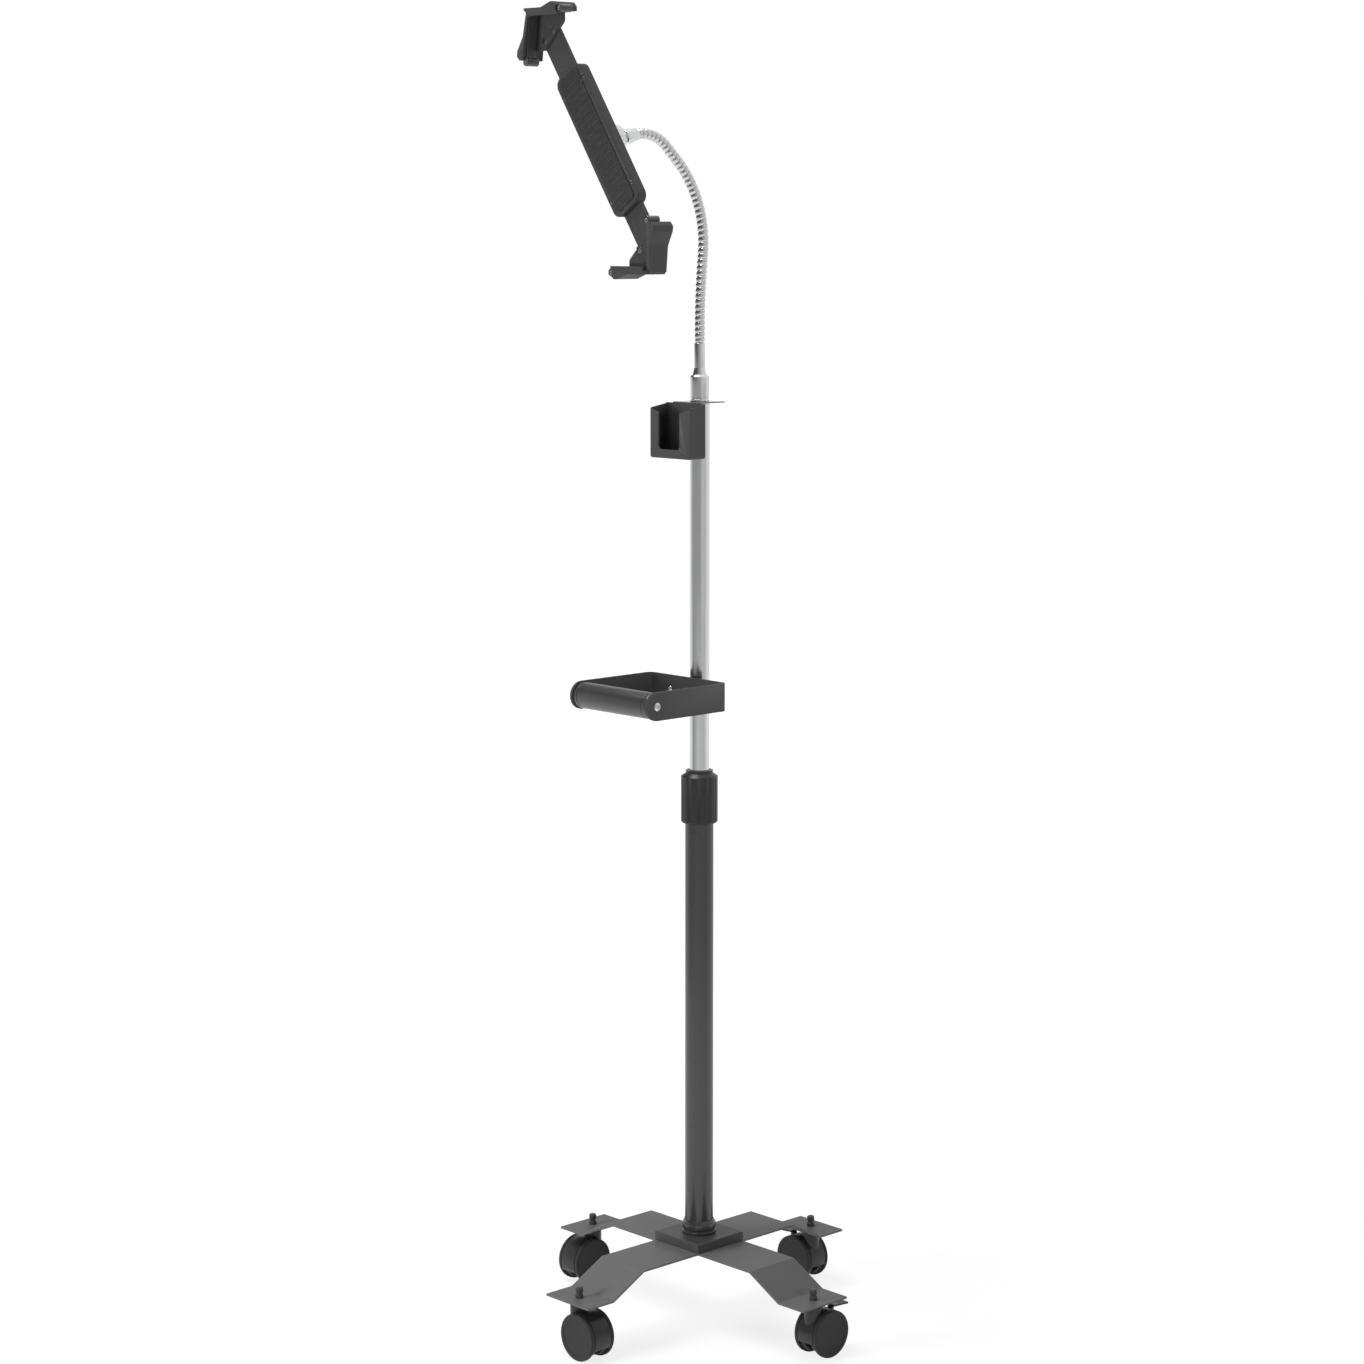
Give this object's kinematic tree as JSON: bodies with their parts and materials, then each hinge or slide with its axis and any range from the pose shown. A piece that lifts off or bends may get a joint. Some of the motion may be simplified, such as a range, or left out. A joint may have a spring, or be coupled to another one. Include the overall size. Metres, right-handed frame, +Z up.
{
  "type": "adjustable tablet floor stand",
  "caption": "Rolling floor stand with a telescopic pole, twist clutch, push handle, small pocket, gooseneck and a corner-gripping tablet holder on a ball joint.",
  "frame": {"origin": "on the floor, under the pole's axis", "axes": "+Z up along the pole, -Y to the front where the handle, pocket and holder are, +X to the right seen from the front's opposite side"},
  "size_m": [0.378, 0.378, 1.382],
  "materials": {
    "black_steel": "fine texture powder coat",
    "black_tube": "satin powder coat",
    "black_plastic": "satin",
    "wheel_plastic": "satin",
    "bush_plastic": "matt",
    "chrome": "polished",
    "zinc_steel": "zinc plated",
    "grip_rubber": "matt",
    "knob_plastic": "gloss"
  },
  "bodies": {
    "base": {"base_cross": "black_steel", "hub_cap": "black_steel", "pole_socket": "black_tube", "lower_pole": "black_tube", "pole_foot_plug": "bush_plastic", "foot_bolt": "zinc_steel", "clutch_collet": "bush_plastic", "caster_stem_front": "black_steel", "caster_stem_right": "black_steel", "caster_stem_back": "black_steel", "caster_stem_left": "black_steel"},
    "caster_front": {"caster_hood_front": "black_plastic", "caster_axle_front": "zinc_steel"},
    "wheel_a_front": {"wheel_a_front": "wheel_plastic"},
    "wheel_b_front": {"wheel_b_front": "wheel_plastic"},
    "caster_right": {"caster_hood_right": "black_plastic", "caster_axle_right": "zinc_steel"},
    "wheel_a_right": {"wheel_a_right": "wheel_plastic"},
    "wheel_b_right": {"wheel_b_right": "wheel_plastic"},
    "brake_right": {"brake_pedal_right": "black_plastic"},
    "caster_back": {"caster_hood_back": "black_plastic", "caster_axle_back": "zinc_steel"},
    "wheel_a_back": {"wheel_a_back": "wheel_plastic"},
    "wheel_b_back": {"wheel_b_back": "wheel_plastic"},
    "brake_back": {"brake_pedal_back": "black_plastic"},
    "caster_left": {"caster_hood_left": "black_plastic", "caster_axle_left": "zinc_steel"},
    "wheel_a_left": {"wheel_a_left": "wheel_plastic"},
    "wheel_b_left": {"wheel_b_left": "wheel_plastic"},
    "clutch": {"clutch_collar": "black_plastic"},
    "guide": {"guide_plug": "bush_plastic"},
    "upper": {"upper_pole": "chrome", "handle_frame": "black_tube", "handle_grip": "grip_rubber", "grip_screws": "zinc_steel", "handle_strap": "black_tube", "handle_saddle": "black_tube", "strap_bolts": "zinc_steel", "pole_pocket": "black_tube", "pole_insert": "bush_plastic", "lower_ferrule": "chrome", "gooseneck": "chrome"},
    "neck_head": {"ball_stud": "chrome", "upper_ferrule": "chrome"},
    "liner": {"ball_liner": "bush_plastic"},
    "lock": {"lock_ring": "chrome"},
    "holder": {"rear_housing": "black_plastic", "front_cover": "black_plastic", "cover_pad": "grip_rubber", "cover_screws": "zinc_steel"},
    "pinion": {"centring_pinion": "bush_plastic"},
    "claw_up": {"arm_upper": "black_steel", "claw_upper": "black_plastic", "claw_liner_upper": "grip_rubber", "claw_screws_upper": "zinc_steel"},
    "claw_down": {"arm_lower": "black_steel", "claw_lower": "black_plastic", "claw_liner_lower": "grip_rubber", "claw_screws_lower": "zinc_steel"},
    "knob": {"lock_knob": "knob_plastic"}
  },
  "joints": [
    {"name": "caster_swivel_front", "type": "hinge", "parent": "base", "child": "caster_front", "pos_m": [0, -0.1715, 0.051], "axis": [0, 0, 1], "continuous": true},
    {"name": "wheel_spin_a_front", "type": "hinge", "parent": "caster_front", "child": "wheel_a_front", "pos_m": [0.0125, -0.1715, 0.025], "axis": [0, 1, 0], "continuous": true},
    {"name": "wheel_spin_b_front", "type": "hinge", "parent": "caster_front", "child": "wheel_b_front", "pos_m": [0.0125, -0.1715, 0.025], "axis": [0, 1, 0], "continuous": true},
    {"name": "caster_swivel_right", "type": "hinge", "parent": "base", "child": "caster_right", "pos_m": [0.1715, 0, 0.051], "axis": [0, 0, 1], "continuous": true},
    {"name": "wheel_spin_a_right", "type": "hinge", "parent": "caster_right", "child": "wheel_a_right", "pos_m": [0.1715, 0.0125, 0.025], "axis": [-1, 0, 0], "continuous": true},
    {"name": "wheel_spin_b_right", "type": "hinge", "parent": "caster_right", "child": "wheel_b_right", "pos_m": [0.1715, 0.0125, 0.025], "axis": [-1, 0, 0], "continuous": true},
    {"name": "brake_press_right", "type": "hinge", "parent": "caster_right", "child": "brake_right", "pos_m": [0.1715, 0.0261, 0.044], "axis": [-1, 0, 0], "range_deg": [0, 8]},
    {"name": "caster_swivel_back", "type": "hinge", "parent": "base", "child": "caster_back", "pos_m": [0, 0.1715, 0.051], "axis": [0, 0, 1], "continuous": true},
    {"name": "wheel_spin_a_back", "type": "hinge", "parent": "caster_back", "child": "wheel_a_back", "pos_m": [-0.0125, 0.1715, 0.025], "axis": [0, -1, 0], "continuous": true},
    {"name": "wheel_spin_b_back", "type": "hinge", "parent": "caster_back", "child": "wheel_b_back", "pos_m": [-0.0125, 0.1715, 0.025], "axis": [0, -1, 0], "continuous": true},
    {"name": "brake_press_back", "type": "hinge", "parent": "caster_back", "child": "brake_back", "pos_m": [-0.0261, 0.1715, 0.044], "axis": [0, -1, 0], "range_deg": [0, 8]},
    {"name": "caster_swivel_left", "type": "hinge", "parent": "base", "child": "caster_left", "pos_m": [-0.1715, 0, 0.051], "axis": [0, 0, 1], "continuous": true},
    {"name": "wheel_spin_a_left", "type": "hinge", "parent": "caster_left", "child": "wheel_a_left", "pos_m": [-0.1715, -0.0125, 0.025], "axis": [1, 0, 0], "continuous": true},
    {"name": "wheel_spin_b_left", "type": "hinge", "parent": "caster_left", "child": "wheel_b_left", "pos_m": [-0.1715, -0.0125, 0.025], "axis": [1, 0, 0], "continuous": true},
    {"name": "clutch_twist", "type": "hinge", "parent": "base", "child": "clutch", "pos_m": [0, 0, 0.57], "axis": [0, 0, 1], "range_deg": [0, 60]},
    {"name": "pole_height", "type": "slide", "parent": "base", "child": "guide", "axis": [0, 0, 1], "range_m": [-0.06, 0.22]},
    {"name": "pole_turn", "type": "hinge", "parent": "guide", "child": "upper", "pos_m": [0, 0, 0.6], "axis": [0, 0, 1], "continuous": true},
    {"name": "neck_bend", "type": "hinge", "parent": "upper", "child": "neck_head", "pos_m": [0, -0.01, 1.195], "axis": [1, 0, 0], "range_deg": [-20, 20], "deforming": ["gooseneck"]},
    {"name": "head_pan", "type": "hinge", "parent": "neck_head", "child": "liner", "pos_m": [0, -0.1195, 1.246], "axis": [0, 0, 1], "range_deg": [-18, 18]},
    {"name": "head_tilt", "type": "hinge", "parent": "liner", "child": "lock", "pos_m": [0, -0.1195, 1.246], "axis": [1, 0, 0], "range_deg": [-15, 20]},
    {"name": "head_roll", "type": "hinge", "parent": "lock", "child": "holder", "pos_m": [0, -0.1195, 1.246], "axis": [0, 1, 0], "continuous": true},
    {"name": "pinion_spin", "type": "hinge", "parent": "holder", "child": "pinion", "pos_m": [0, -0.1355, 1.246], "axis": [0, 1, 0], "range_deg": [-180, 240]},
    {"name": "claw_slide_upper", "type": "slide", "parent": "holder", "child": "claw_up", "axis": [-0.5608, 0, 0.828], "range_m": [-0.032, 0.024]},
    {"name": "claw_slide_lower", "type": "slide", "parent": "holder", "child": "claw_down", "axis": [0.5608, 0, -0.828], "range_m": [-0.032, 0.024]},
    {"name": "knob_twist", "type": "hinge", "parent": "holder", "child": "knob", "pos_m": [0.02804, -0.128, 1.2046], "axis": [0, 1, 0], "range_deg": [0, 180]}
  ],
  "couplings": [
    {"joint": "claw_slide_lower", "follows": "claw_slide_upper", "ratio": 1},
    {"joint": "pinion_spin", "follows": "claw_slide_upper", "rad_per_m": -125}
  ]
}
